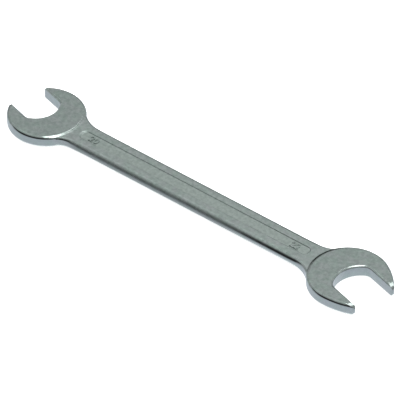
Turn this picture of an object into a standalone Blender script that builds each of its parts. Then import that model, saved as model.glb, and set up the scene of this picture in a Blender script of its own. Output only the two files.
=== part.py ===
"""Double open end wrench, drop forged in one piece, with a 20 mm and a 22 mm jaw.

Metres, +Z up. The wrench lies flat on its two heads: the shank runs along X, the
small head at -X and the large head at +X, and each mouth is turned 15 degrees off
the shank, to opposite sides. The origin is under the middle of the wrench, on the
plane that it lies on.
"""
from collections import namedtuple
from math import acos, atan2, ceil, cos, pi, radians, sin, sqrt, tan

import bmesh
import bpy
from mathutils import Matrix, Vector

# Overall
CENTRE_DISTANCE = 0.1936      # between the centres of the two heads
HEAD_OFFSET = 0.0010          # each head's centre off the shank's middle line
HEAD_THICKNESS = 0.0064       # both heads are ground to one thickness
JAW_ANGLE = radians(15)

# Small jaw
SMALL_JAW = 0.020             # nut width that the mouth is made for
SMALL_CHEEK = 0.0099          # steel beside the mouth, at the head's widest
SMALL_REACH = 0.0165          # prong tips in front of the head's centre
SMALL_TIP = 0.0015            # steel beside the mouth, at the tips
SMALL_THROAT_BACK = 0.0026    # floor of the throat behind the head's centre
SMALL_THROAT_BOW = 0.0055     # how far that floor curves across the mouth
SMALL_CORNER = 0.0047         # radius between the floor and each flat

# Large jaw
LARGE_JAW = 0.022
LARGE_CHEEK = 0.0098
LARGE_REACH = 0.0208
LARGE_TIP = 0.0013
LARGE_THROAT_BACK = 0.0034
LARGE_THROAT_BOW = 0.0053
LARGE_CORNER = 0.0047

# Both jaws
JAW_CLEARANCE = 0.0002        # a mouth is this much wider than its nut
BACK_ANGLE = radians(76)      # the round back ends this far from the mouth's axis
RIM_RADIUS = 0.0012           # rounding of the head's rim
TIP_EASE = 0.0004             # the tips' corners are rounder than the rim by this
EDGE_BREAK = 0.0003           # chamfer round the mouth, on both faces
LEAD_EASE = 0.0003            # each flat rounds into its tip, by this more than the chamfer
RAMP_START = 0.0024           # each face slopes down to the shank from this far inside the rim
RAMP_SHIFT = 0.0022           # the slope's circle is moved off the shank, and fades out at the sides
RAMP_SLOPE = radians(12.5)

# Shank
SHANK_WIDTH = 0.0173
SHANK_STEP = 0.0005           # each face of the shank below the heads' faces
SHANK_EDGE_RADIUS = 0.0024
OUTER_NECK_RADIUS = 0.0160    # on the side that the mouth turns to
INNER_NECK_RADIUS = 0.0106
NECK_SINK = 0.0001            # the neck's arcs run this far under the head's wall

# Recessed panel, one on each face of the shank
PANEL_WIDTH = 0.0059
PANEL_DEPTH = 0.0004
PANEL_MARGIN = 0.0047         # from the head's rim to the panel's end
PANEL_CORNER = 0.0024
PANEL_FILLET = 0.00025        # rounding between the panel's wall and its floor

# Working values
OVERRUN = 0.002               # how far a cut runs past the steel
WELD = 0.000001               # points closer than this are one point
FACET_ANGLE = radians(4)      # turn from one point of an arc to the next
RIM_STEPS = 3                 # rings across a rounded rim
THICKEST_RIM_SHARE = 0.45     # a rounding takes at most this much of its plate
WIDEST_CORNER_SHARE = 0.9     # a throat corner takes at most this much of half a mouth

Head = namedtuple("Head", "name mouth radius reach tip back bow corner centre turn")


def head(name, jaw, cheek, reach, tip, back, bow, corner, centre, turn):
    """One head; the round back leaves the cheek's steel on both sides of the mouth."""
    mouth = jaw + JAW_CLEARANCE
    return Head(name, mouth, mouth / 2 + cheek, reach, tip, back, bow, corner, centre, turn)


SMALL = head("small", SMALL_JAW, SMALL_CHEEK, SMALL_REACH, SMALL_TIP, SMALL_THROAT_BACK,
             SMALL_THROAT_BOW, SMALL_CORNER, Vector((-CENTRE_DISTANCE / 2, HEAD_OFFSET)), pi - JAW_ANGLE)
LARGE = head("large", LARGE_JAW, LARGE_CHEEK, LARGE_REACH, LARGE_TIP, LARGE_THROAT_BACK,
             LARGE_THROAT_BOW, LARGE_CORNER, Vector((CENTRE_DISTANCE / 2, -HEAD_OFFSET)), -JAW_ANGLE)


# Outlines

def arc(centre, radius, start, end):
    """Points on an arc from one angle to another, both ends included."""
    steps = max(2, ceil(abs(end - start) / FACET_ANGLE))
    angles = [start + (end - start) * step / steps for step in range(steps + 1)]
    return [Vector((centre[0] + radius * cos(angle), centre[1] + radius * sin(angle))) for angle in angles]


def bearing(centre, point):
    return atan2(point[1] - centre[1], point[0] - centre[0])


def turned(points, angle, centre):
    """Outline points of a head's own frame, +X out of its mouth, put in place on the wrench."""
    spin = Matrix.Rotation(angle, 2)
    return [spin @ point + centre for point in points]


def with_mirror(half):
    """An outline from its upper half, which runs from the front round to the back."""
    lower = [Vector((point.x, -point.y)) for point in reversed(half)]
    merged = half + lower
    return [point for point, last in zip(merged, merged[-1:] + merged[:-1]) if (point - last).length > WELD]


def head_outline(part):
    """The blank before its mouth is cut: round back, flatter prongs and a straight front."""
    back_end = Vector((cos(BACK_ANGLE), sin(BACK_ANGLE)))
    corner = Vector((part.reach, part.mouth / 2 + part.tip))
    to_corner = corner - part.radius * back_end
    prong_radius = to_corner.length_squared / (2 * (part.radius - corner.dot(back_end)))
    prong_centre = (part.radius - prong_radius) * back_end
    ease = RIM_RADIUS + TIP_EASE
    ease_x = part.reach - ease
    ease_y = prong_centre.y + sqrt((prong_radius - ease) ** 2 - (ease_x - prong_centre.x) ** 2)
    ease_centre = Vector((ease_x, ease_y))
    meet = bearing(prong_centre, ease_centre)
    return with_mirror(arc(ease_centre, ease, 0, meet)
                       + arc(prong_centre, prong_radius, meet, BACK_ANGLE)
                       + arc((0, 0), part.radius, BACK_ANGLE, pi))


def mouth_outline(part, grow):
    """The mouth, grown on all sides: open front, parallel flats, round corners and a bowed floor."""
    half = part.mouth / 2
    floor_radius = (half ** 2 + part.bow ** 2) / (2 * part.bow)
    corner = min(part.corner, WIDEST_CORNER_SHARE * half)
    floor_x = floor_radius - part.back
    drop = half - corner
    corner_x = floor_x - sqrt((floor_radius - corner) ** 2 - drop ** 2)
    corner_centre = Vector((corner_x, drop))
    meet = bearing((floor_x, 0), corner_centre)
    lead = EDGE_BREAK + LEAD_EASE
    lead_centre = (part.reach - lead, half + lead)
    front = Vector((part.reach + OVERRUN, half + lead))
    return with_mirror([front]
                       + arc(lead_centre, lead - grow, 0, -pi / 2)
                       + arc(corner_centre, corner + grow, pi / 2, meet)
                       + arc((floor_x, 0), floor_radius + grow, meet, pi))


def neck_arc(part, side, radius):
    """The arc from the shank's edge at y = side into the head's wall, from the shank outwards."""
    up = 1 if side > 0 else -1
    toward = -1 if part.centre.x > 0 else 1
    reach = part.radius - NECK_SINK + radius
    centre_y = side + up * radius
    centre_x = part.centre.x + toward * sqrt(reach ** 2 - (centre_y - part.centre.y) ** 2)
    start = -up * pi / 2
    lean = acos(up * (centre_y - part.centre.y) / reach)
    return arc((centre_x, centre_y), radius, start, start - up * toward * lean)


def shank_outline():
    """Parallel edges that open into both heads; the ends stop inside the heads."""
    side = SHANK_WIDTH / 2
    corners = [(LARGE, side, INNER_NECK_RADIUS), (LARGE, -side, OUTER_NECK_RADIUS),
               (SMALL, -side, INNER_NECK_RADIUS), (SMALL, side, OUTER_NECK_RADIUS)]
    points = []
    for index, (part, edge, radius) in enumerate(corners):
        sweep = neck_arc(part, edge, radius)
        inner = part.centre + Vector((0, sweep[-1].y - part.centre.y)) / 2
        points += sweep + [inner] if index % 2 == 0 else [inner] + sweep[::-1]
    return points


def panel_outline():
    """A long rectangle with rounded corners, as far from one head's rim as from the other's."""
    low = SMALL.centre.x + SMALL.radius + PANEL_MARGIN
    high = LARGE.centre.x - LARGE.radius - PANEL_MARGIN
    corner = min(PANEL_CORNER, WIDEST_CORNER_SHARE * PANEL_WIDTH / 2)
    inner_y = PANEL_WIDTH / 2 - corner
    corners = [(high - corner, inner_y), (low + corner, inner_y), (low + corner, -inner_y), (high - corner, -inner_y)]
    points = []
    for quarter, centre in enumerate(corners):
        points += arc(centre, corner, quarter * pi / 2, (quarter + 1) * pi / 2)
    return points


# Solids

def plate(name, points, thickness, rim, rings, collection):
    """A flat outline drawn as a filled curve, as thick as stated, with its rim rounded."""
    rim = min(rim, THICKEST_RIM_SHARE * thickness)
    curve = bpy.data.curves.new(name, "CURVE")
    curve.dimensions = "2D"
    curve.fill_mode = "BOTH"
    curve.extrude = thickness / 2 - rim
    curve.bevel_depth = rim
    curve.bevel_resolution = rings
    curve.offset = -rim
    spline = curve.splines.new("POLY")
    spline.points.add(len(points) - 1)
    for vertex, point in zip(spline.points, points):
        vertex.co = (point.x, point.y, 0, 1)
    spline.use_cyclic_u = True
    drawn = bpy.data.objects.new(name + "_outline", curve)
    collection.objects.link(drawn)
    bpy.context.view_layer.update()
    mesh = bpy.data.meshes.new_from_object(drawn.evaluated_get(bpy.context.evaluated_depsgraph_get()))
    matrix = drawn.matrix_world.copy()
    bpy.data.objects.remove(drawn)
    return solid_from(name, mesh, matrix, collection)


def solid_from(name, mesh, matrix, collection):
    """A mesh object with its seams welded and its faces pointing out."""
    work = bmesh.new()
    work.from_mesh(mesh)
    bmesh.ops.remove_doubles(work, verts=work.verts, dist=WELD)
    bmesh.ops.recalc_face_normals(work, faces=work.faces)
    work.to_mesh(mesh)
    work.free()
    mesh.name = name
    solid = bpy.data.objects.new(name, mesh)
    solid.matrix_world = matrix
    collection.objects.link(solid)
    return solid


def loft(name, sections, collection):
    """A solid through outlines of as many points each, given as (points, height) from low to high."""
    work = bmesh.new()
    rings = [[work.verts.new((point.x, point.y, height)) for point in points] for points, height in sections]
    for low, high in zip(rings, rings[1:]):
        for index in range(len(low)):
            work.faces.new((low[index - 1], low[index], high[index], high[index - 1]))
    work.faces.new(rings[0][::-1])
    work.faces.new(rings[-1])
    mesh = bpy.data.meshes.new(name)
    work.to_mesh(mesh)
    work.free()
    return solid_from(name, mesh, Matrix.Identity(4), collection)


def mouth_cutter(part, collection):
    """The mouth right through the head, chamfered where it meets each face."""
    face = HEAD_THICKNESS / 2
    past = LEAD_EASE / 2
    straight = turned(mouth_outline(part, 0), part.turn, part.centre)
    flared = turned(mouth_outline(part, EDGE_BREAK + past), part.turn, part.centre)
    upper = [(straight, face - EDGE_BREAK), (flared, face + past), (flared, face + OVERRUN)]
    lower = [(points, -height) for points, height in reversed(upper)]
    return loft(part.name + "_mouth", lower + upper, collection)


def ramp_form(part, collection):
    """A lens that leaves a head's faces flat inside its circle and slopes off outside it."""
    face = HEAD_THICKNESS / 2
    fall = tan(RAMP_SLOPE)
    away = 1 if part.centre.x > 0 else -1
    centre = part.centre + Vector((away * RAMP_SHIFT, 0))
    flat = part.radius - RAMP_START + RAMP_SHIFT
    run = RAMP_START + RAMP_SHIFT
    inner = arc(centre, flat - RAMP_START, 0, 2 * pi)[:-1]
    outer = arc(centre, flat + run, 0, 2 * pi)[:-1]
    upper = [(outer, face - run * fall), (inner, face + RAMP_START * fall)]
    lower = [(points, -height) for points, height in reversed(upper)]
    return loft(part.name + "_ramp", lower + upper, collection)


def panel_cutter(name, points, face, up, collection):
    """The panel's pocket in one face of the shank, its wall rounded into its floor."""
    height = PANEL_DEPTH + OVERRUN
    cutter = plate(name, points, 2 * height, PANEL_FILLET, RIM_STEPS, collection)
    cutter.location.z = up * (face - PANEL_DEPTH + height)
    return cutter


def boolean(target, tool, operation):
    modifier = target.modifiers.new(tool.name, "BOOLEAN")
    modifier.operation = operation
    modifier.solver = "EXACT"
    modifier.object = tool
    tool.hide_render = True
    tool.display_type = "WIRE"


def satin_nickel():
    material = bpy.data.materials.new("satin_nickel_plate")
    material.use_nodes = True
    shader = material.node_tree.nodes["Principled BSDF"]
    shader.inputs["Base Color"].default_value = (0.50, 0.51, 0.48, 1)
    shader.inputs["Metallic"].default_value = 1.0
    shader.inputs["Roughness"].default_value = 0.36
    return material


# Assembly

for old in list(bpy.data.objects):
    bpy.data.objects.remove(old)
parts = bpy.data.collections.new("open_end_wrench")
tools = bpy.data.collections.new("open_end_wrench_cutters")
bpy.context.scene.collection.children.link(parts)
bpy.context.scene.collection.children.link(tools)

shank_thickness = HEAD_THICKNESS - 2 * SHANK_STEP
forging = plate("wrench_forging", shank_outline(), shank_thickness, SHANK_EDGE_RADIUS, RIM_STEPS, parts)
members = [forging]
for label, up in (("upper", 1), ("lower", -1)):
    pocket = panel_cutter(label + "_panel", panel_outline(), shank_thickness / 2, up, tools)
    boolean(forging, pocket, "DIFFERENCE")
    members.append(pocket)
for part in (SMALL, LARGE):
    outline = turned(head_outline(part), part.turn, part.centre)
    blank = plate(part.name + "_head_blank", outline, HEAD_THICKNESS, RIM_RADIUS, RIM_STEPS, tools)
    ramp = ramp_form(part, tools)
    boolean(blank, ramp, "INTERSECT")
    boolean(forging, blank, "UNION")
    members += [blank, ramp]
for part in (SMALL, LARGE):
    mouth = mouth_cutter(part, tools)
    boolean(forging, mouth, "DIFFERENCE")
    members.append(mouth)
forging.data.materials.append(satin_nickel())

# The middle of the wrench's box goes over the origin, and its lower faces on Z = 0
origin = bpy.data.objects.new("wrench_origin", None)
parts.objects.link(origin)
for member in members:
    member.parent = origin
bpy.context.view_layer.update()
made = forging.evaluated_get(bpy.context.evaluated_depsgraph_get())
corners = [made.matrix_world @ vertex.co for vertex in made.data.vertices]
low = Vector([min(corner[axis] for corner in corners) for axis in range(3)])
high = Vector([max(corner[axis] for corner in corners) for axis in range(3)])
origin.location = (-(low.x + high.x) / 2, -(low.y + high.y) / 2, -low.z)
bpy.context.view_layer.update()

print("overall size", [round(value, 5) for value in high - low])
for part in (SMALL, LARGE):
    centre = part.centre + origin.location.xy
    print(part.name, "head centre", [round(value, 6) for value in centre], "mouth", round(part.mouth, 5))
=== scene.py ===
"""Double open end wrench, 20 mm and 22 mm jaws, on a white studio floor.

Metres, +Z up. The wrench lies on its two heads, the small one at -X and the large one at +X.
"""
from math import acos, atan2, ceil, cos, pi, radians, sin, sqrt, tan

import bpy
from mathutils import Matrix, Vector


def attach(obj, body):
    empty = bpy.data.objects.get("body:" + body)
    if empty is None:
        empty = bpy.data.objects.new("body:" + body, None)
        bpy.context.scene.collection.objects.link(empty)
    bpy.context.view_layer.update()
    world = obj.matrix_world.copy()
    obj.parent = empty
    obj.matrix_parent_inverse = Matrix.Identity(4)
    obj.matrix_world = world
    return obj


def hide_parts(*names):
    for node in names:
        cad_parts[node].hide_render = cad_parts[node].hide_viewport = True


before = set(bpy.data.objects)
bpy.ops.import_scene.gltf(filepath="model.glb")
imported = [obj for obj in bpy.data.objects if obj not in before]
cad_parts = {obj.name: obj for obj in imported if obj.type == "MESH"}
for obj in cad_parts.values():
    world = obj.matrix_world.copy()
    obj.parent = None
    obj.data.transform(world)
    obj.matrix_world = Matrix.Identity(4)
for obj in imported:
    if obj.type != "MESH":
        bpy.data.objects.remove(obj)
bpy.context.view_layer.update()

# The view
# The wrench as the studio camera sees it: a long lens from the near side, about 40 degrees
# above the table, aimed at the middle of the shank.
VIEW_AZIMUTH = radians(38.925)
VIEW_ELEVATION = radians(40.306)
VIEW_ROLL = radians(0.116)
VIEW_DISTANCE = 4.2
VIEW_TARGET = Vector((-0.001576, 0.002911, 0.0))
PICTURE_WIDTH = 400
FOCAL_LENGTH = 8485.401              # in pixels
SENSOR_WIDTH = 36.0
CLIP_NEAR = 0.1
CLIP_FAR = 20.0

bpy.ops.object.select_all(action="DESELECT")
view_line = Vector((-sin(VIEW_AZIMUTH) * cos(VIEW_ELEVATION),
                    cos(VIEW_AZIMUTH) * cos(VIEW_ELEVATION),
                    -sin(VIEW_ELEVATION)))
bpy.ops.object.camera_add(location=VIEW_TARGET - view_line * VIEW_DISTANCE)
camera = bpy.context.object
camera.name = "studio_camera"
camera.rotation_euler = view_line.to_track_quat("-Z", "Y").to_euler()
camera.rotation_euler.rotate_axis("Z", VIEW_ROLL)
camera.data.sensor_width = SENSOR_WIDTH
camera.data.lens = FOCAL_LENGTH / PICTURE_WIDTH * SENSOR_WIDTH
camera.data.clip_start = CLIP_NEAR
camera.data.clip_end = CLIP_FAR
bpy.context.scene.camera = camera

# The shank
# A flat bar of chrome vanadium steel, drawn out between the two heads in the forging die. Its
# long edges are well rounded, and it opens into each head with a small arc on one side and a
# wide one on the other.
SMALL_CENTRE = Vector((-0.09895, 0.00145))
LARGE_CENTRE = Vector((0.09465, -0.00055))
SMALL_RADIUS = 0.0200
LARGE_RADIUS = 0.0209
HEAD_THICKNESS = 0.0064
SHANK_AXIS = 0.00045                 # its middle line's place across the wrench
SHANK_WIDTH = 0.0173
SHANK_STEP = 0.0005                  # each face below the heads' faces
SHANK_ROUNDING = 0.0024
OUTER_NECK_RADIUS = 0.0160
INNER_NECK_RADIUS = 0.0106
NECK_SINK = 0.0001                   # the neck's arcs run this far under the head's wall
ARC_STEP = radians(2)                # arcs are drawn in lines that turn no more than this
ROUND_STEPS = 8
POINT_SIZE = 0.001                   # the small plane that is merged to an outline's first point
WELD = 0.000001
OVERRUN = 0.002                      # how far a cutter runs past the steel
WALL_LEAN = 0.1                      # a face whose normal rises less than this is a wall
NECK_NEAR = 0.0150                   # from a head's centre, where the shank's rounding is thinnest
NECK_FAR = 0.0340                    # and where it is full
NECK_SHARE = 0.5                     # the thinnest rounding, as a share of the full one
NECK_RUN = 0.012                     # the straight edge's ends, drawn in short steps
NECK_STEPS = 8


def start_line(name, x, y, z):
    """A new piece with a single point, from which its outline is drawn."""
    bpy.ops.object.select_all(action="DESELECT")
    bpy.ops.mesh.primitive_plane_add(size=POINT_SIZE, location=(x, y, z))
    drawn = bpy.context.object
    drawn.name = name
    bpy.ops.object.mode_set(mode="EDIT")
    bpy.ops.mesh.select_mode(type="VERT")
    bpy.ops.mesh.merge(type="CENTER")
    return drawn


def line_by(x, y, z=0.0):
    """A straight stretch from the last point."""
    bpy.ops.mesh.extrude_region_move(TRANSFORM_OT_translate={"value": (x, y, z)})


def arc_by(centre, turn, z):
    """An arc from the last point round a centre, anticlockwise where the turn is positive."""
    steps = max(2, ceil(abs(turn) / ARC_STEP))
    bpy.ops.mesh.spin(steps=steps, angle=-turn, center=(centre[0], centre[1], z), axis=(0, 0, 1))


def close_outline():
    """Joins the drawn line's ends and leaves the whole outline selected."""
    bpy.ops.mesh.select_all(action="SELECT")
    bpy.ops.mesh.remove_doubles(threshold=WELD)


def thicken(run):
    """A solid from a closed outline, drawn out along a run, with its faces pointing out."""
    bpy.ops.mesh.edge_face_add()
    bpy.ops.mesh.extrude_region_move(TRANSFORM_OT_translate={"value": run})
    bpy.ops.mesh.select_all(action="SELECT")
    bpy.ops.mesh.normals_make_consistent(inside=False)
    bpy.ops.object.mode_set(mode="OBJECT")


def pick(piece):
    """Selects one piece alone and makes it the active one."""
    bpy.ops.object.select_all(action="DESELECT")
    piece.select_set(True)
    bpy.context.view_layer.objects.active = piece


def place_in_mesh(piece):
    """Moves a piece's place into its mesh and leaves its object at the origin."""
    pick(piece)
    bpy.ops.object.transform_apply(location=True, rotation=True, scale=True)


def round_rim(piece, width, share=lambda middle: 1.0):
    """Rounds every edge between a face of the slab and its wall, by a share of the width."""
    walls = {}
    for face in piece.data.polygons:
        for key in face.edge_keys:
            walls.setdefault(key, []).append(abs(face.normal.z) < WALL_LEAN)
    weights = piece.data.attributes.new("bevel_weight_edge", "FLOAT", "EDGE")
    for edge in piece.data.edges:
        if sorted(walls[edge.key]) == [False, True]:
            ends = [piece.data.vertices[index].co for index in edge.vertices]
            weights.data[edge.index].value = share((ends[0] + ends[1]) / 2)
    rounding = piece.modifiers.new("rounding", "BEVEL")
    rounding.limit_method = "WEIGHT"
    rounding.width = width
    rounding.segments = ROUND_STEPS
    rounding.use_clamp_overlap = False
    pick(piece)
    bpy.ops.object.modifier_apply(modifier=rounding.name)
    piece.data.attributes.remove(piece.data.attributes["bevel_weight_edge"])


def share_by_neck(middle):
    """The shank's rounding, which thins out to about the heads' own along each neck."""
    centre = LARGE_CENTRE if middle.x > 0 else SMALL_CENTRE
    along = (abs(middle.x - centre.x) - NECK_NEAR) / (NECK_FAR - NECK_NEAR)
    along = min(max(along, 0.0), 1.0)
    return NECK_SHARE + (1 - NECK_SHARE) * along * along * (3 - 2 * along)


def long_line(length, toward):
    """A straight edge of the shank, with points where its rounding still changes."""
    for _ in range(NECK_STEPS):
        line_by(toward * NECK_RUN / NECK_STEPS, 0)
    line_by(toward * (length - 2 * NECK_RUN), 0)
    for _ in range(NECK_STEPS):
        line_by(toward * NECK_RUN / NECK_STEPS, 0)


def cut(piece, tool, operation):
    """Joins a tool to a piece, takes it away or keeps what both share, and deletes the tool."""
    pick(piece)
    boolean = piece.modifiers.new(tool.name, "BOOLEAN")
    boolean.operation = operation
    boolean.solver = "EXACT"
    boolean.object = tool
    bpy.ops.object.modifier_apply(modifier=boolean.name)
    bpy.data.objects.remove(tool)


def neck(centre, radius, side, neck_radius, toward):
    """Centre and swept angle of the arc from the shank's edge into a head's wall."""
    up = 1 if side > 0 else -1
    reach = radius - NECK_SINK + neck_radius
    middle_y = SHANK_AXIS + side + up * neck_radius
    middle_x = centre.x + toward * sqrt(reach ** 2 - (middle_y - centre.y) ** 2)
    return Vector((middle_x, middle_y)), acos(up * (middle_y - centre.y) / reach)


half = SHANK_WIDTH / 2
large_inner, large_inner_sweep = neck(LARGE_CENTRE, LARGE_RADIUS, half, INNER_NECK_RADIUS, -1)
large_outer, large_outer_sweep = neck(LARGE_CENTRE, LARGE_RADIUS, -half, OUTER_NECK_RADIUS, -1)
small_inner, small_inner_sweep = neck(SMALL_CENTRE, SMALL_RADIUS, -half, INNER_NECK_RADIUS, 1)
small_outer, small_outer_sweep = neck(SMALL_CENTRE, SMALL_RADIUS, half, OUTER_NECK_RADIUS, 1)


def neck_end(middle, radius, sweep, side, toward):
    """Where a neck arc reaches the head's wall."""
    return Vector((middle.x - toward * radius * sin(sweep), middle.y - side * radius * cos(sweep)))


def cross_head(centre, entry, leave):
    """Three straight stretches, hidden in the head, from one neck arc's end to the other's."""
    first_y = (entry.y - centre.y) / 2 + centre.y
    last_y = (leave.y - centre.y) / 2 + centre.y
    line_by(centre.x - entry.x, first_y - entry.y)
    line_by(0, last_y - first_y)
    line_by(leave.x - centre.x, leave.y - last_y)


large_inner_end = neck_end(large_inner, INNER_NECK_RADIUS, large_inner_sweep, 1, -1)
large_outer_end = neck_end(large_outer, OUTER_NECK_RADIUS, large_outer_sweep, -1, -1)
small_inner_end = neck_end(small_inner, INNER_NECK_RADIUS, small_inner_sweep, -1, 1)
small_outer_end = neck_end(small_outer, OUTER_NECK_RADIUS, small_outer_sweep, 1, 1)
forging = start_line("wrench", small_outer.x, SHANK_AXIS + half, SHANK_STEP)
long_line(large_inner.x - small_outer.x, 1)
arc_by(large_inner, large_inner_sweep, SHANK_STEP)
cross_head(LARGE_CENTRE, large_inner_end, large_outer_end)
arc_by(large_outer, large_outer_sweep, SHANK_STEP)
long_line(large_outer.x - small_inner.x, -1)
arc_by(small_inner, small_inner_sweep, SHANK_STEP)
cross_head(SMALL_CENTRE, small_inner_end, small_outer_end)
arc_by(small_outer, small_outer_sweep, SHANK_STEP)
close_outline()
thicken((0, 0, HEAD_THICKNESS - 2 * SHANK_STEP))
place_in_mesh(forging)
round_rim(forging, SHANK_ROUNDING, share_by_neck)

# The heads
# Forged in one with the shank: a round blank each, ground flat on both faces, with its rim
# rounded. Each face is dressed down in a shallow ramp to the shank, and all four prongs are
# eased and rounded off at their tips.
JAW_ANGLE = radians(15)
SMALL_TURN = pi - JAW_ANGLE
LARGE_TURN = -JAW_ANGLE
JAW_CLEARANCE = 0.0002               # a mouth is this much wider than its nut
SMALL_MOUTH = 0.020 + JAW_CLEARANCE
LARGE_MOUTH = 0.022 + JAW_CLEARANCE
SMALL_REACH = 0.0165                 # prong tips in front of the head's centre
LARGE_REACH = 0.0208
SMALL_TIP = 0.0015                   # steel beside the mouth, at the tips
LARGE_TIP = 0.0013
BACK_ANGLE = radians(76)             # the round back ends this far from the mouth's axis
RIM_ROUNDING = 0.0014
TIP_ROUNDING = 0.0016                # the tips' corners, seen from above
TIP_SLOPE = radians(12)              # the facet on each tip
SMALL_FACET = 0.0016                 # how far that facet reaches back from the tips
LARGE_FACET = 0.0040
SMALL_NOSE = 0.0014                  # the rounding below it
LARGE_NOSE = 0.0019
NOSE_END = radians(86)               # the rounding ends this steep
NOSE_STEPS = 10
TIP_BLOCK = 0.06                     # the tips' cutter reaches across both prongs
RAMP_SHIFT = 0.0022                  # the ramp's circle is moved this far off the shank
RAMP_START = 0.0024                  # from the head's rim, on the shank's side
RAMP_PROFILE = ((-0.0006, -0.00003), (0.00025, 0.0000125), (0.00055, 0.00004),
                (0.00085, 0.00009), (0.0012, 0.00017), (0.0016, 0.000268),
                (0.0020, 0.000365), (0.00235, 0.00044), (0.0027, 0.0005),
                (0.0031, 0.000555), (0.0040, 0.00063), (0.0080, 0.00085))
SMALL_RAMP_RUN = 0.62                # the small head's ramp is this much shorter and steeper
LARGE_RAMP_RUN = 1.0
RAMP_STEPS = 120
MOUTH_BLOCK = 0.06                   # keeps the ramp off the mouth's half of the head
MIDDLE = HEAD_THICKNESS / 2


def turn_to(piece, turn, centre):
    """Turns a piece drawn with its mouth along +X, and moves it to its head's centre."""
    place_in_mesh(piece)
    piece.rotation_euler.z = turn
    piece.location = (centre.x, centre.y, 0)
    place_in_mesh(piece)


def draw_blank(name, radius, reach, mouth, tip):
    """The head before its mouth is cut: round back, flatter prongs and a straight front."""
    back = Vector((cos(BACK_ANGLE), sin(BACK_ANGLE)))
    corner = Vector((reach, mouth / 2 + tip))
    prong_radius = (corner - radius * back).length_squared / (2 * (radius - corner.dot(back)))
    prong = (radius - prong_radius) * back
    ease_x = reach - TIP_ROUNDING
    ease_y = prong.y + sqrt((prong_radius - TIP_ROUNDING) ** 2 - (ease_x - prong.x) ** 2)
    meet = atan2(ease_y - prong.y, ease_x - prong.x)
    blank = start_line(name, reach, ease_y, 0)
    arc_by((ease_x, ease_y), meet, 0)
    arc_by(prong, BACK_ANGLE - meet, 0)
    arc_by((0, 0), 2 * (pi - BACK_ANGLE), 0)
    arc_by((prong.x, -prong.y), BACK_ANGLE - meet, 0)
    arc_by((ease_x, -ease_y), meet, 0)
    line_by(0, 2 * ease_y)
    close_outline()
    thicken((0, 0, HEAD_THICKNESS))
    place_in_mesh(blank)
    return blank


def upright_line(points):
    """Straight stretches through points in a plane along the wrench, each given as x and z."""
    for (old_x, old_z), (new_x, new_z) in zip(points, points[1:]):
        line_by(new_x - old_x, 0, new_z - old_z)


def ease_tips(blank, reach, length, nose):
    """Takes a shallow facet off the prongs' ends, on both faces, and rounds them off below it."""
    facet = length - nose * (1 - sin(TIP_SLOPE))
    depth = nose * cos(TIP_SLOPE) + facet * tan(TIP_SLOPE)
    profile = [(-length - OVERRUN, -OVERRUN * tan(TIP_SLOPE))]
    for step in range(NOSE_STEPS + 1):
        turned = TIP_SLOPE + (NOSE_END - TIP_SLOPE) * step / NOSE_STEPS
        profile.append((-nose * (1 - sin(turned)), depth - nose * cos(turned)))
    profile += [(OVERRUN, profile[-1][1]), (OVERRUN, -OVERRUN * tan(TIP_SLOPE))]
    for up in (1, -1):
        points = [(reach + out, MIDDLE + up * (MIDDLE - down)) for out, down in profile]
        tool = start_line("tip_nose", points[0][0], -TIP_BLOCK / 2, points[0][1])
        upright_line(points + points[:1])
        close_outline()
        thicken((0, TIP_BLOCK, 0))
        place_in_mesh(tool)
        cut(blank, tool, "DIFFERENCE")


def ramp_form(centre, radius, toward, run):
    """A lens that leaves the head's faces flat inside its circle and ramps down outside it."""
    flat = radius - RAMP_START + RAMP_SHIFT
    axis_x = centre.x - toward * RAMP_SHIFT
    upper = [(flat + out * run, HEAD_THICKNESS - drop) for out, drop in RAMP_PROFILE]
    lower = [(reach, HEAD_THICKNESS - height) for reach, height in reversed(upper)]
    points = [(0, upper[0][1])] + upper + lower + [(0, lower[-1][1])]
    lens = start_line("ramp", axis_x, centre.y, points[0][1])
    upright_line(points)
    bpy.ops.mesh.select_all(action="SELECT")
    bpy.ops.mesh.spin(steps=RAMP_STEPS, angle=2 * pi, center=(axis_x, centre.y, 0), axis=(0, 0, 1))
    bpy.ops.mesh.select_all(action="SELECT")
    bpy.ops.mesh.remove_doubles(threshold=WELD)
    bpy.ops.mesh.normals_make_consistent(inside=False)
    bpy.ops.object.mode_set(mode="OBJECT")
    place_in_mesh(lens)
    bpy.ops.object.select_all(action="DESELECT")
    block_x = axis_x - toward * MOUTH_BLOCK / 2
    bpy.ops.mesh.primitive_cube_add(size=MOUTH_BLOCK, location=(block_x, centre.y, MIDDLE))
    mouth_half = bpy.context.object
    mouth_half.name = "mouth_half"
    place_in_mesh(mouth_half)
    cut(lens, mouth_half, "UNION")
    return lens


small_blank = draw_blank("small_head", SMALL_RADIUS, SMALL_REACH, SMALL_MOUTH, SMALL_TIP)
large_blank = draw_blank("large_head", LARGE_RADIUS, LARGE_REACH, LARGE_MOUTH, LARGE_TIP)
for blank in (small_blank, large_blank):
    round_rim(blank, RIM_ROUNDING)
ease_tips(small_blank, SMALL_REACH, SMALL_FACET, SMALL_NOSE)
ease_tips(large_blank, LARGE_REACH, LARGE_FACET, LARGE_NOSE)
for blank, turn, centre, radius, toward, run in (
        (small_blank, SMALL_TURN, SMALL_CENTRE, SMALL_RADIUS, 1, SMALL_RAMP_RUN),
        (large_blank, LARGE_TURN, LARGE_CENTRE, LARGE_RADIUS, -1, LARGE_RAMP_RUN)):
    turn_to(blank, turn, centre)
    cut(blank, ramp_form(centre, radius, toward, run), "INTERSECT")
    cut(forging, blank, "UNION")

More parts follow.
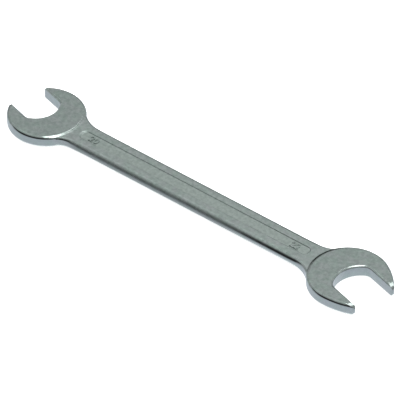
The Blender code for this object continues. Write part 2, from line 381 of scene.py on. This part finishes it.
# The mouths
# Each is broached through its head to a nut's width: two parallel flats, round corners and a
# bowed throat. The edge of each mouth is eased on both faces, the small one's throat less than
# its flats.
SMALL_BACK = 0.0026                  # floor of the throat behind the head's centre
LARGE_BACK = 0.0034
SMALL_BOW = 0.0055                   # how far that floor curves across the mouth
LARGE_BOW = 0.0053
THROAT_CORNER = 0.0047               # radius between the floor and each flat
LEAD = 0.0006                        # each flat rounds into its tip
LEAST_LEAD = LEAD / 10               # what the eased edge leaves of that rounding
SMALL_THROAT_SHARE = 0.3             # the throat's easing, as a share of the flats'
LARGE_THROAT_SHARE = 1.0
SMALL_LIP = ((0.0, 0.00064), (0.00026, 0.00047), (0.00052, 0.00031), (0.00082, 0.00015),
             (0.00112, 0.00005), (0.0014, 0.00001), (0.0015, -0.00002), (0.0015, -OVERRUN))
LARGE_LIP = ((0.0, 0.00068), (0.0001, 0.0005), (0.00024, 0.00036), (0.00045, 0.00024),
             (0.0008, 0.0001), (0.0011, 0.00002), (0.0013, -0.00002), (0.0013, -OVERRUN))


def keep_outline(ring):
    """Closes a drawn outline and leaves it as a piece for itself."""
    close_outline()
    bpy.ops.object.mode_set(mode="OBJECT")
    place_in_mesh(ring)
    return ring


def join_rings(rings):
    """A closed solid through outlines of as many points each, from low to high."""
    bpy.ops.object.select_all(action="DESELECT")
    for ring in rings:
        ring.select_set(True)
    tool = rings[0]
    bpy.context.view_layer.objects.active = tool
    bpy.ops.object.join()
    bpy.ops.object.mode_set(mode="EDIT")
    bpy.ops.mesh.select_all(action="SELECT")
    bpy.ops.mesh.bridge_edge_loops()
    bpy.ops.mesh.select_all(action="DESELECT")
    bpy.ops.mesh.select_non_manifold()
    bpy.ops.mesh.edge_face_add()
    bpy.ops.mesh.select_all(action="SELECT")
    bpy.ops.mesh.normals_make_consistent(inside=False)
    bpy.ops.object.mode_set(mode="OBJECT")
    return tool


def corner_by(centre, start, sweep, first, last, z):
    """An arc in short lines from a first to a last radius, from a start angle."""
    steps = max(2, ceil(abs(sweep) / ARC_STEP))
    points = []
    for step in range(steps + 1):
        reached = first + (last - first) * step / steps
        turned = start + sweep * step / steps
        points.append((centre[0] + reached * cos(turned), centre[1] + reached * sin(turned)))
    for (old_x, old_y), (new_x, new_y) in zip(points, points[1:]):
        line_by(new_x - old_x, new_y - old_y)


def draw_mouth(name, mouth, reach, back, bow, lip, throat):
    """The mouth's cutter, through one outline for each height of its eased edge."""
    half = mouth / 2
    floor_radius = (half ** 2 + bow ** 2) / (2 * bow)
    floor_x = floor_radius - back
    drop = half - THROAT_CORNER
    corner_x = floor_x - sqrt((floor_radius - THROAT_CORNER) ** 2 - drop ** 2)
    meet = atan2(drop, corner_x - floor_x)
    front = reach + OVERRUN
    upper = [(grow, HEAD_THICKNESS - depth) for grow, depth in lip]
    lower = [(grow, HEAD_THICKNESS - height) for grow, height in reversed(upper)]
    rings = []
    for grow, height in lower + upper:
        lead = max(LEAD - grow, LEAST_LEAD)
        ring = start_line(name, front, half + LEAD, height)
        line_by(reach - LEAD + lead - front, 0)
        arc_by((reach - LEAD, half + LEAD), -pi / 2, height)
        line_by(corner_x - (reach - LEAD), half + grow - (half + LEAD - lead))
        flat = THROAT_CORNER + grow
        deep = THROAT_CORNER + grow * throat
        corner_by((corner_x, drop), pi / 2, meet - pi / 2, flat, deep, height)
        arc_by((floor_x, 0), 2 * (pi - meet), height)
        corner_by((corner_x, -drop), -meet, meet - pi / 2, deep, flat, height)
        line_by(reach - LEAD - corner_x, (half + grow) - (half + LEAD - lead))
        arc_by((reach - LEAD, -half - LEAD), -pi / 2, height)
        line_by(front - (reach - LEAD + lead), 0)
        line_by(0, 2 * (half + LEAD))
        rings.append(keep_outline(ring))
    return join_rings(rings)


for name, mouth, reach, back, bow, lip, throat, turn, centre in (
        ("small_mouth", SMALL_MOUTH, SMALL_REACH, SMALL_BACK, SMALL_BOW, SMALL_LIP,
         SMALL_THROAT_SHARE, SMALL_TURN, SMALL_CENTRE),
        ("large_mouth", LARGE_MOUTH, LARGE_REACH, LARGE_BACK, LARGE_BOW, LARGE_LIP,
         LARGE_THROAT_SHARE, LARGE_TURN, LARGE_CENTRE)):
    cutter = draw_mouth(name, mouth, reach, back, bow, lip, throat)
    turn_to(cutter, turn, centre)
    cut(forging, cutter, "DIFFERENCE")

# The panels
# A long shallow recess with round ends, pressed into each face of the shank by the forging
# die. Its walls lean and run softly into the floor, and the end by the small head slopes the
# most.
PANEL_WIDTH = 0.0059
PANEL_DEPTH = 0.0004
SMALL_PANEL_MARGIN = 0.0030          # from each head's rim to the panel's end
LARGE_PANEL_MARGIN = 0.0047
PANEL_END_RUN = 0.0009               # the slope at the small end is this much longer
PANEL_CORNER = 0.0024
PANEL_PROFILE = ((-0.00026, 0.0004), (-0.00016, 0.00038), (-0.00008, 0.00032), (0.0, 0.00019),
                 (0.00006, 0.0001), (0.00014, 0.00006), (0.00028, 0.000012), (0.00034, -0.00002),
                 (0.00034, -OVERRUN))
SHANK_TOP = HEAD_THICKNESS - SHANK_STEP
panel_low = SMALL_CENTRE.x + SMALL_RADIUS + SMALL_PANEL_MARGIN
panel_high = LARGE_CENTRE.x - LARGE_RADIUS - LARGE_PANEL_MARGIN


def draw_panel(name, up):
    """The recess's cutter for one face, through one outline for each height of its wall."""
    rings = []
    for grow, depth in PANEL_PROFILE:
        height = SHANK_TOP - depth if up else SHANK_STEP + depth
        corner = PANEL_CORNER + grow
        side = PANEL_WIDTH / 2 - PANEL_CORNER
        slope_share = min(max(depth / PANEL_DEPTH, 0.0), 1.0)
        low = panel_low + PANEL_CORNER + PANEL_END_RUN * slope_share
        high = panel_high - PANEL_CORNER
        ring = start_line(name, low, SHANK_AXIS - side - corner, height)
        line_by(high - low, 0)
        arc_by((high, SHANK_AXIS - side), pi / 2, height)
        line_by(0, 2 * side)
        arc_by((high, SHANK_AXIS + side), pi / 2, height)
        line_by(low - high, 0)
        arc_by((low, SHANK_AXIS + side), pi / 2, height)
        line_by(0, -2 * side)
        arc_by((low, SHANK_AXIS - side), pi / 2, height)
        rings.append(keep_outline(ring))
    return join_rings(rings)


for name, up in (("upper_panel", True), ("lower_panel", False)):
    cut(forging, draw_panel(name, up), "DIFFERENCE")

# The size numbers
# Each jaw's nut width in millimetres, raised by the die on the floor of both panels, beside
# the jaw that it belongs to. Plain block figures, a little softened by the plating.
NUMBER_SIZE = 0.0055
NUMBER_RISE = 0.00038                # above the panel's floor
NUMBER_SINK = 0.00005                # below it
NUMBER_ROUNDING = 0.0002
NUMBER_ROUND_STEPS = 3
SMALL_NUMBER_X = -0.0672
LARGE_NUMBER_X = 0.0608
NUMBER_Y = 0.0001
numbers = []
for text, place_x in (("20", SMALL_NUMBER_X), ("22", LARGE_NUMBER_X)):
    for face, up in (("upper", 1), ("lower", -1)):
        floor_z = SHANK_TOP - PANEL_DEPTH if up > 0 else SHANK_STEP + PANEL_DEPTH
        middle_z = floor_z + up * (NUMBER_RISE - NUMBER_SINK) / 2
        bpy.ops.object.select_all(action="DESELECT")
        bpy.ops.object.text_add(location=(place_x, NUMBER_Y, middle_z),
                                rotation=(0 if up > 0 else pi, 0, 0))
        number = bpy.context.object
        number.name = "number_" + text + "_" + face
        number.data.body = text
        number.data.size = NUMBER_SIZE
        number.data.align_x = "CENTER"
        number.data.align_y = "CENTER"
        number.data.bevel_depth = NUMBER_ROUNDING
        number.data.bevel_resolution = NUMBER_ROUND_STEPS
        number.data.offset = -NUMBER_ROUNDING / 2
        number.data.extrude = (NUMBER_RISE + NUMBER_SINK) / 2 - NUMBER_ROUNDING
        bpy.ops.object.convert(target="MESH")
        place_in_mesh(number)
        bpy.ops.object.mode_set(mode="EDIT")
        bpy.ops.mesh.select_mode(type="VERT")
        bpy.ops.mesh.select_all(action="SELECT")
        bpy.ops.mesh.remove_doubles(threshold=WELD)
        bpy.ops.mesh.normals_make_consistent(inside=False)
        bpy.ops.object.mode_set(mode="OBJECT")
        numbers.append(number)

# The plating
# The whole forging is blasted, then plated satin: a fine even grain and a faint cloudy tint all
# over, smoother on the rounded rims, duller where hands hold the shank, with grinding lines on
# the heads' faces and belt lines along the walls. Painted light is in the colour too: the walls
# are painted lighter as a reflection of the white table, and the rims are left darker as painted
# shade.
SMOOTH_ANGLE = radians(30)
PLATE_DARK = (0.37, 0.41, 0.39, 1.0)
PLATE_LIGHT = (0.545, 0.58, 0.56, 1.0)
GREEN_CAST = (0.96, 1.02, 1.01, 1.0)
ROSE_CAST = (1.02, 1.01, 1.05, 1.0)
FLOOR_CAST = (1.04, 1.075, 1.07, 1.0)  # the panels' floors, which no hand has rubbed
GRAIN_SCALE = 3300.0                 # the blasted grain, in the height alone
GRAIN_DETAIL = 3.0
GRAIN_BREAK = 0.6
MOTTLE_SCALE = 560.0                 # the tint's clouds
MOTTLE_DETAIL = 3.0
MOTTLE_BREAK = 0.65
MOTTLE_SPAN = (0.34, 0.66)           # the noise that becomes all dark to all light
CAST_SCALE = 250.0                   # the drift between the two casts
CAST_DETAIL = 2.0
CAST_BREAK = 0.5
CAST_SPAN = (0.36, 0.64)
LINE_SCALE = 5200.0
LINE_DETAIL = 2.0
LINE_BREAK = 0.5
BELT_STRETCH = (0.02, 0.02, 1.0)     # lines round the walls
WHEEL_STRETCH = (0.04, 0.55, 0.04)   # lines along the heads' faces
FLAT_SPAN = (0.965, 0.998)           # how upright a normal is, on the rims and on the flats
WALL_SPAN = (0.35, 0.05)             # the same, on the rims and on the walls
FACE_SPAN = (0.0030, 0.0031)         # from the middle plane, between shank and heads' faces
FLOOR_SPAN = (0.0026, 0.0024)        # and between the shank's faces and the panels' floors
HAND_SPAN_LARGE = (0.060, 0.020)     # where hands' dulling starts and is full, along the shank
HAND_SPAN_SMALL = (-0.086, -0.072)
# Painted light: walls are lifted lighter as a painted reflection of the table, and flats are lifted
# above the rims so that the rims stay darker as painted shade. The heads' faces are set darker than
# the shank's.
PAINTED_LIGHT_AND_TONE_LIFTS = (("Wall", 0.42), ("Flat", 0.25), ("Face", -0.47))  # towards the light plating
LINE_TINT = 0.4
MOTTLE_TINT = 0.8
WALL_MOTTLE_TINT = 0.25
RIM_ROUGHNESS = 0.09
FLAT_ROUGHNESS = 0.30
HAND_ROUGHNESS = 0.45                # added on the rims that hands hold
MOTTLE_ROUGHNESS = 0.03
RELIEF_STRENGTH = 0.25
RELIEF_DEPTH = 0.00002
MIX_FACTOR = 0                       # a colour Mix node's sockets
MIX_FIRST = 6
MIX_SECOND = 7
MIX_RESULT = 2


def new_group(name, inputs, outputs):
    """A shader node group with its sockets, as (name, kind, value) for inputs."""
    group = bpy.data.node_groups.new(name, "ShaderNodeTree")
    for label, kind, value in inputs:
        socket = group.interface.new_socket(label, in_out="INPUT", socket_type=kind)
        if value is not None:
            socket.default_value = value
    for label, kind in outputs:
        group.interface.new_socket(label, in_out="OUTPUT", socket_type=kind)
    return group, group.nodes.new("NodeGroupInput"), group.nodes.new("NodeGroupOutput")


def add_node(tree, kind, links=(), values=(), **settings):
    """A node with its settings, the sockets that feed it, and its plain values."""
    node = tree.nodes.new(kind)
    for label, value in settings.items():
        setattr(node, label, value)
    for socket, value in values:
        node.inputs[socket].default_value = value
    for socket, source in links:
        tree.links.new(source, node.inputs[socket])
    return node


def add_noise(tree, place, scale, detail, roughness, dimensions="3D"):
    """Noise at a place, whose Fac socket is given back."""
    node = add_node(tree, "ShaderNodeTexNoise", [("Vector", place), ("Scale", scale)],
                    [("Detail", detail), ("Roughness", roughness)], noise_dimensions=dimensions)
    return node.outputs["Fac"]


def add_range(tree, source, span, to_low=0.0, to_high=1.0):
    """A clamped change of range from a span, whose Result socket is given back."""
    node = add_node(tree, "ShaderNodeMapRange", [("Value", source)],
                    [("From Min", span[0]), ("From Max", span[1]),
                     ("To Min", to_low), ("To Max", to_high)])
    return node.outputs["Result"]


def add_math(tree, first, second, operation="ADD"):
    """A math node on two sockets or plain numbers, whose result is given back."""
    node = tree.nodes.new("ShaderNodeMath")
    node.operation = operation
    for index, term in enumerate((first, second)):
        if isinstance(term, (int, float)):
            node.inputs[index].default_value = term
        else:
            tree.links.new(term, node.inputs[index])
    return node.outputs["Value"]


def mix_colours(tree, factor, first, second, blend="MIX"):
    """A colour mix of two sockets or plain colours, whose result is given back."""
    node = add_node(tree, "ShaderNodeMix", data_type="RGBA", blend_type=blend)
    for index, term in ((MIX_FACTOR, factor), (MIX_FIRST, first), (MIX_SECOND, second)):
        if isinstance(term, (float, tuple)):
            node.inputs[index].default_value = term
        else:
            tree.links.new(term, node.inputs[index])
    return node.outputs[MIX_RESULT]


grain, given, made = new_group(
    "blasted_grain",
    (("Vector", "NodeSocketVector", None), ("Grain Scale", "NodeSocketFloat", GRAIN_SCALE),
     ("Mottle Scale", "NodeSocketFloat", MOTTLE_SCALE), ("Cast Scale", "NodeSocketFloat", CAST_SCALE)),
    (("Height", "NodeSocketFloat"), ("Mottle", "NodeSocketFloat"), ("Cast", "NodeSocketFloat")))
vector = given.outputs["Vector"]
fine = add_noise(grain, vector, given.outputs["Grain Scale"], GRAIN_DETAIL, GRAIN_BREAK)
broad = add_noise(grain, vector, given.outputs["Mottle Scale"], MOTTLE_DETAIL, MOTTLE_BREAK)
hue = add_noise(grain, vector, given.outputs["Cast Scale"], CAST_DETAIL, CAST_BREAK, "4D")
grain.links.new(fine, made.inputs["Height"])
grain.links.new(add_range(grain, broad, MOTTLE_SPAN), made.inputs["Mottle"])
grain.links.new(add_range(grain, hue, CAST_SPAN), made.inputs["Cast"])

lines, given, made = new_group(
    "ground_lines",
    (("Vector", "NodeSocketVector", None), ("Stretch", "NodeSocketVector", None),
     ("Scale", "NodeSocketFloat", LINE_SCALE)),
    (("Height", "NodeSocketFloat"),))
stretch = add_node(lines, "ShaderNodeMapping",
                   [("Vector", given.outputs["Vector"]), ("Scale", given.outputs["Stretch"])])
drawn_lines = add_noise(lines, stretch.outputs["Vector"], given.outputs["Scale"],
                        LINE_DETAIL, LINE_BREAK)
lines.links.new(drawn_lines, made.inputs["Height"])

zones, given, made = new_group(
    "forging_zones", (("Place", "NodeSocketVector", None), ("Normal", "NodeSocketVector", None)),
    (("Flat", "NodeSocketFloat"), ("Wall", "NodeSocketFloat"), ("Face", "NodeSocketFloat"),
     ("Floor", "NodeSocketFloat"), ("Handled", "NodeSocketFloat")))
facing = add_node(zones, "ShaderNodeSeparateXYZ", [("Vector", given.outputs["Normal"])])
rise = add_math(zones, facing.outputs["Z"], 0.0, "ABSOLUTE")
flat = add_range(zones, rise, FLAT_SPAN)
wall = add_range(zones, rise, WALL_SPAN)
spot = add_node(zones, "ShaderNodeSeparateXYZ", [("Vector", given.outputs["Place"])])
height = add_math(zones, spot.outputs["Z"], MIDDLE, "SUBTRACT")
height = add_math(zones, height, 0.0, "ABSOLUTE")
head_face = add_math(zones, flat, add_range(zones, height, FACE_SPAN), "MULTIPLY")
panel_floor = add_math(zones, flat, add_range(zones, height, FLOOR_SPAN), "MULTIPLY")
hand_large = add_range(zones, spot.outputs["X"], HAND_SPAN_LARGE)
hand_small = add_range(zones, spot.outputs["X"], HAND_SPAN_SMALL)
handled = add_math(zones, hand_large, hand_small, "MULTIPLY")
for zone, mask in (("Flat", flat), ("Wall", wall), ("Face", head_face), ("Floor", panel_floor),
                   ("Handled", handled)):
    zones.links.new(mask, made.inputs[zone])

plate = bpy.data.materials.new("satin_plate")
plate.use_nodes = True
tree = plate.node_tree
shader = tree.nodes["Principled BSDF"]
shader.inputs["Metallic"].default_value = 1.0
place = add_node(tree, "ShaderNodeTexCoord")
vector = place.outputs["Object"]
grained = add_node(tree, "ShaderNodeGroup", [("Vector", vector)], node_tree=grain)
belt = add_node(tree, "ShaderNodeGroup", [("Vector", vector)],
                [("Stretch", BELT_STRETCH)], node_tree=lines)
wheel = add_node(tree, "ShaderNodeGroup", [("Vector", vector)],
                 [("Stretch", WHEEL_STRETCH)], node_tree=lines)
zoned = add_node(tree, "ShaderNodeGroup",
                 [("Place", vector), ("Normal", place.outputs["Normal"])], node_tree=zones)

face_lines = add_math(tree, wheel.outputs["Height"], zoned.outputs["Face"], "MULTIPLY")
even_walls = add_range(tree, zoned.outputs["Wall"], (0.0, 1.0), MOTTLE_TINT, WALL_MOTTLE_TINT)
tint_and_painted_light = add_math(tree, add_math(tree, face_lines, LINE_TINT, "MULTIPLY"),
                 add_math(tree, grained.outputs["Mottle"], even_walls, "MULTIPLY"))
# Here the colour takes its painted light: lighter walls, and rims left darker as painted shade.
for zone, lift in PAINTED_LIGHT_AND_TONE_LIFTS:
    tint_and_painted_light = add_math(tree, tint_and_painted_light, add_math(tree, zoned.outputs[zone], lift, "MULTIPLY"))
tone_and_painted_light = mix_colours(tree, tint_and_painted_light, PLATE_DARK, PLATE_LIGHT)
cast = mix_colours(tree, grained.outputs["Cast"], GREEN_CAST, ROSE_CAST)
cast = mix_colours(tree, zoned.outputs["Floor"], cast, FLOOR_CAST)
colour = mix_colours(tree, 1.0, tone_and_painted_light, cast, "MULTIPLY")
tree.links.new(colour, shader.inputs["Base Color"])

dullness = add_range(tree, zoned.outputs["Flat"], (0.0, 1.0), RIM_ROUGHNESS, FLAT_ROUGHNESS)
rims = add_math(tree, 1.0, zoned.outputs["Flat"], "SUBTRACT")
held_rims = add_math(tree, rims, zoned.outputs["Handled"], "MULTIPLY")
for mask, more in ((held_rims, HAND_ROUGHNESS), (grained.outputs["Mottle"], MOTTLE_ROUGHNESS)):
    dullness = add_math(tree, dullness, add_math(tree, mask, more, "MULTIPLY"))
tree.links.new(dullness, shader.inputs["Roughness"])

wall_lines = add_math(tree, belt.outputs["Height"], zoned.outputs["Wall"], "MULTIPLY")
relief = add_math(tree, grained.outputs["Height"], add_math(tree, wall_lines, face_lines))
bump = add_node(tree, "ShaderNodeBump", [("Height", relief)],
                [("Strength", RELIEF_STRENGTH), ("Distance", RELIEF_DEPTH)])
tree.links.new(bump.outputs["Normal"], shader.inputs["Normal"])

for piece in [forging] + numbers:
    piece.data.materials.clear()
    piece.data.materials.append(plate)
    pick(piece)
    bpy.ops.object.shade_smooth_by_angle(angle=SMOOTH_ANGLE)
    weighting = piece.modifiers.new("even_shading", "WEIGHTED_NORMAL")
    weighting.keep_sharp = True
    bpy.ops.object.modifier_apply(modifier=weighting.name)
    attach(piece, "root")
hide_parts("wrench_forging")

# The studio
# A white table that runs out of sight, an overhead bank for the table, two small bright boxes
# for the glints, and a room that is white below, light above and past the wrench's ends, and
# dark on the camera's side.
FLOOR_SIZE = 12.0
FLOOR_GLOW = 0.75
PAPER = (0.9, 0.9, 0.9, 1.0)
PAPER_ROUGHNESS = 0.9
WHITE = (1.0, 1.0, 1.0, 1.0)
bpy.ops.object.select_all(action="DESELECT")
bpy.ops.mesh.primitive_plane_add(size=FLOOR_SIZE, location=(0, 0, 0))
floor = bpy.context.object
floor.name = "studio_floor"
floor.visible_glossy = False
paper = bpy.data.materials.new("white_paper")
paper.use_nodes = True
paper_shader = paper.node_tree.nodes["Principled BSDF"]
paper_shader.inputs["Base Color"].default_value = PAPER
paper_shader.inputs["Roughness"].default_value = PAPER_ROUGHNESS
paper_shader.inputs["Emission Color"].default_value = WHITE
paper_shader.inputs["Emission Strength"].default_value = FLOOR_GLOW
floor.data.materials.append(paper)

BANK_PLACE = (0, 0, 2.5)
BANK_SIZE = 3.0
BANK_POWER = 55.0
WEDGE_GLINT_PLACE = (-0.187, 0.846, 3.492)   # mirrored in the small head's ramp
WEDGE_GLINT_SIZE = 1.05
WEDGE_GLINT_POWER = 10.4
TIP_GLINT_PLACE = (-0.623, 1.840, 3.031)     # mirrored in the large head's tips
TIP_GLINT_SIZE = 0.60
TIP_GLINT_POWER = 2.5


def hang_light(name, place, size, power, glossy):
    """A square area light that faces the wrench."""
    bpy.ops.object.light_add(type="AREA", location=place)
    light = bpy.context.object
    light.name = name
    light.rotation_euler = (-Vector(place)).to_track_quat("-Z", "Y").to_euler()
    light.data.shape = "SQUARE"
    light.data.size = size
    light.data.energy = power
    light.visible_glossy = glossy


hang_light("overhead_bank", BANK_PLACE, BANK_SIZE, BANK_POWER, False)
hang_light("wedge_glint", WEDGE_GLINT_PLACE, WEDGE_GLINT_SIZE, WEDGE_GLINT_POWER, True)
hang_light("tip_glint", TIP_GLINT_PLACE, TIP_GLINT_SIZE, TIP_GLINT_POWER, True)

# Each side of the room is a list of heights, from -1 straight down to 1 straight up, and their
# colours.
NEAR_ROOM = ((-1.0, (1.6, 1.6, 1.65)), (-0.85, (1.2, 1.22, 1.28)), (-0.65, (0.68, 0.725, 0.80)),
             (-0.4, (0.34, 0.35, 0.38)), (-0.22, (0.03, 0.03, 0.035)), (0.30, (0.03, 0.03, 0.03)),
             (0.55, (0.12, 0.125, 0.125)), (0.8, (0.37, 0.39, 0.38)), (0.95, (0.58, 0.61, 0.6)),
             (1.0, (0.63, 0.67, 0.655)))
FAR_ROOM = ((-1.0, (1.6, 1.6, 1.65)), (-0.65, (0.70, 0.74, 0.81)), (-0.15, (0.72, 0.75, 0.80)),
            (0.0, (0.45, 0.47, 0.48)), (0.14, (0.25, 0.26, 0.26)), (0.25, (0.05, 0.05, 0.05)),
            (0.36, (0.03, 0.03, 0.03)), (0.43, (0.10, 0.10, 0.10)), (0.52, (0.48, 0.505, 0.495)),
            (0.65, (0.56, 0.59, 0.58)), (0.79, (0.64, 0.69, 0.67)), (1.0, (0.63, 0.67, 0.655)))
SIDE_ROOM = ((-1.0, (1.6, 1.6, 1.65)), (-0.65, (0.80, 0.84, 0.91)), (-0.15, (0.72, 0.75, 0.80)),
             (0.1, (0.42, 0.44, 0.44)), (0.65, (0.56, 0.59, 0.58)), (1.0, (0.63, 0.67, 0.655)))
END_ROOM = ((-1.0, (1.6, 1.6, 1.65)), (-0.85, (1.2, 1.22, 1.28)), (-0.65, (0.68, 0.725, 0.80)),
            (-0.4, (0.34, 0.35, 0.38)), (-0.22, (0.03, 0.03, 0.035)), (0.08, (0.03, 0.03, 0.03)),
            (0.2, (0.42, 0.44, 0.43)), (0.65, (0.56, 0.59, 0.58)), (1.0, (0.63, 0.67, 0.655)))
FAR_AXIS = (-0.628, 0.778, 0.0)      # away from the camera
FAR_SPAN = (-0.25, 0.25)
LARGE_END_AXIS = (0.966, -0.259, 0.0)
LARGE_END_SPAN = (0.68, 0.80)
SMALL_END_AXIS = (-1.0, 0.0, 0.0)
SMALL_END_SPAN = (0.80, 0.92)
BACK_AXIS = (0.424, 0.908, 0.0)      # behind the wrench, on the large head's side
BACK_SPAN = (0.5, 0.74)

world = bpy.data.worlds.new("studio_room")
bpy.context.scene.world = world
world.use_nodes = True
room = world.node_tree
room_shader = room.nodes["Background"]
direction = add_node(room, "ShaderNodeTexCoord").outputs["Generated"]
heights = add_node(room, "ShaderNodeSeparateXYZ", [("Vector", direction)])
up_share = add_range(room, heights.outputs["Z"], (-1.0, 1.0))


def room_side(stops):
    """One side of the room, as colours by height."""
    bands = add_node(room, "ShaderNodeValToRGB", [("Fac", up_share)])
    while len(bands.color_ramp.elements) > 1:
        bands.color_ramp.elements.remove(bands.color_ramp.elements[-1])
    bands.color_ramp.elements[0].position = 0.0
    bands.color_ramp.elements[0].color = (*stops[0][1], 1.0)
    for height, colour in stops[1:]:
        bands.color_ramp.elements.new((height + 1) / 2).color = (*colour, 1.0)
    return bands.outputs["Color"]


def share_toward(axis, span):
    """How far a direction lies to one side of the room, over a span of its share."""
    along = add_node(room, "ShaderNodeVectorMath", [(0, direction)], [(1, axis)],
                     operation="DOT_PRODUCT")
    return add_range(room, along.outputs["Value"], span)


sides = room_side(NEAR_ROOM)
for axis, span, stops in (
        (FAR_AXIS, FAR_SPAN, FAR_ROOM),
        (LARGE_END_AXIS, LARGE_END_SPAN, END_ROOM),
        (SMALL_END_AXIS, SMALL_END_SPAN, SIDE_ROOM),
        (BACK_AXIS, BACK_SPAN, SIDE_ROOM)):
    sides = mix_colours(room, share_toward(axis, span), sides, room_side(stops))
seen = add_node(room, "ShaderNodeLightPath")
backdrop = mix_colours(room, seen.outputs["Is Camera Ray"], sides, WHITE)
room.links.new(backdrop, room_shader.inputs["Color"])

bpy.context.scene.view_settings.view_transform = "Standard"
bpy.context.scene.view_settings.look = "None"

bpy.context.view_layer.update()
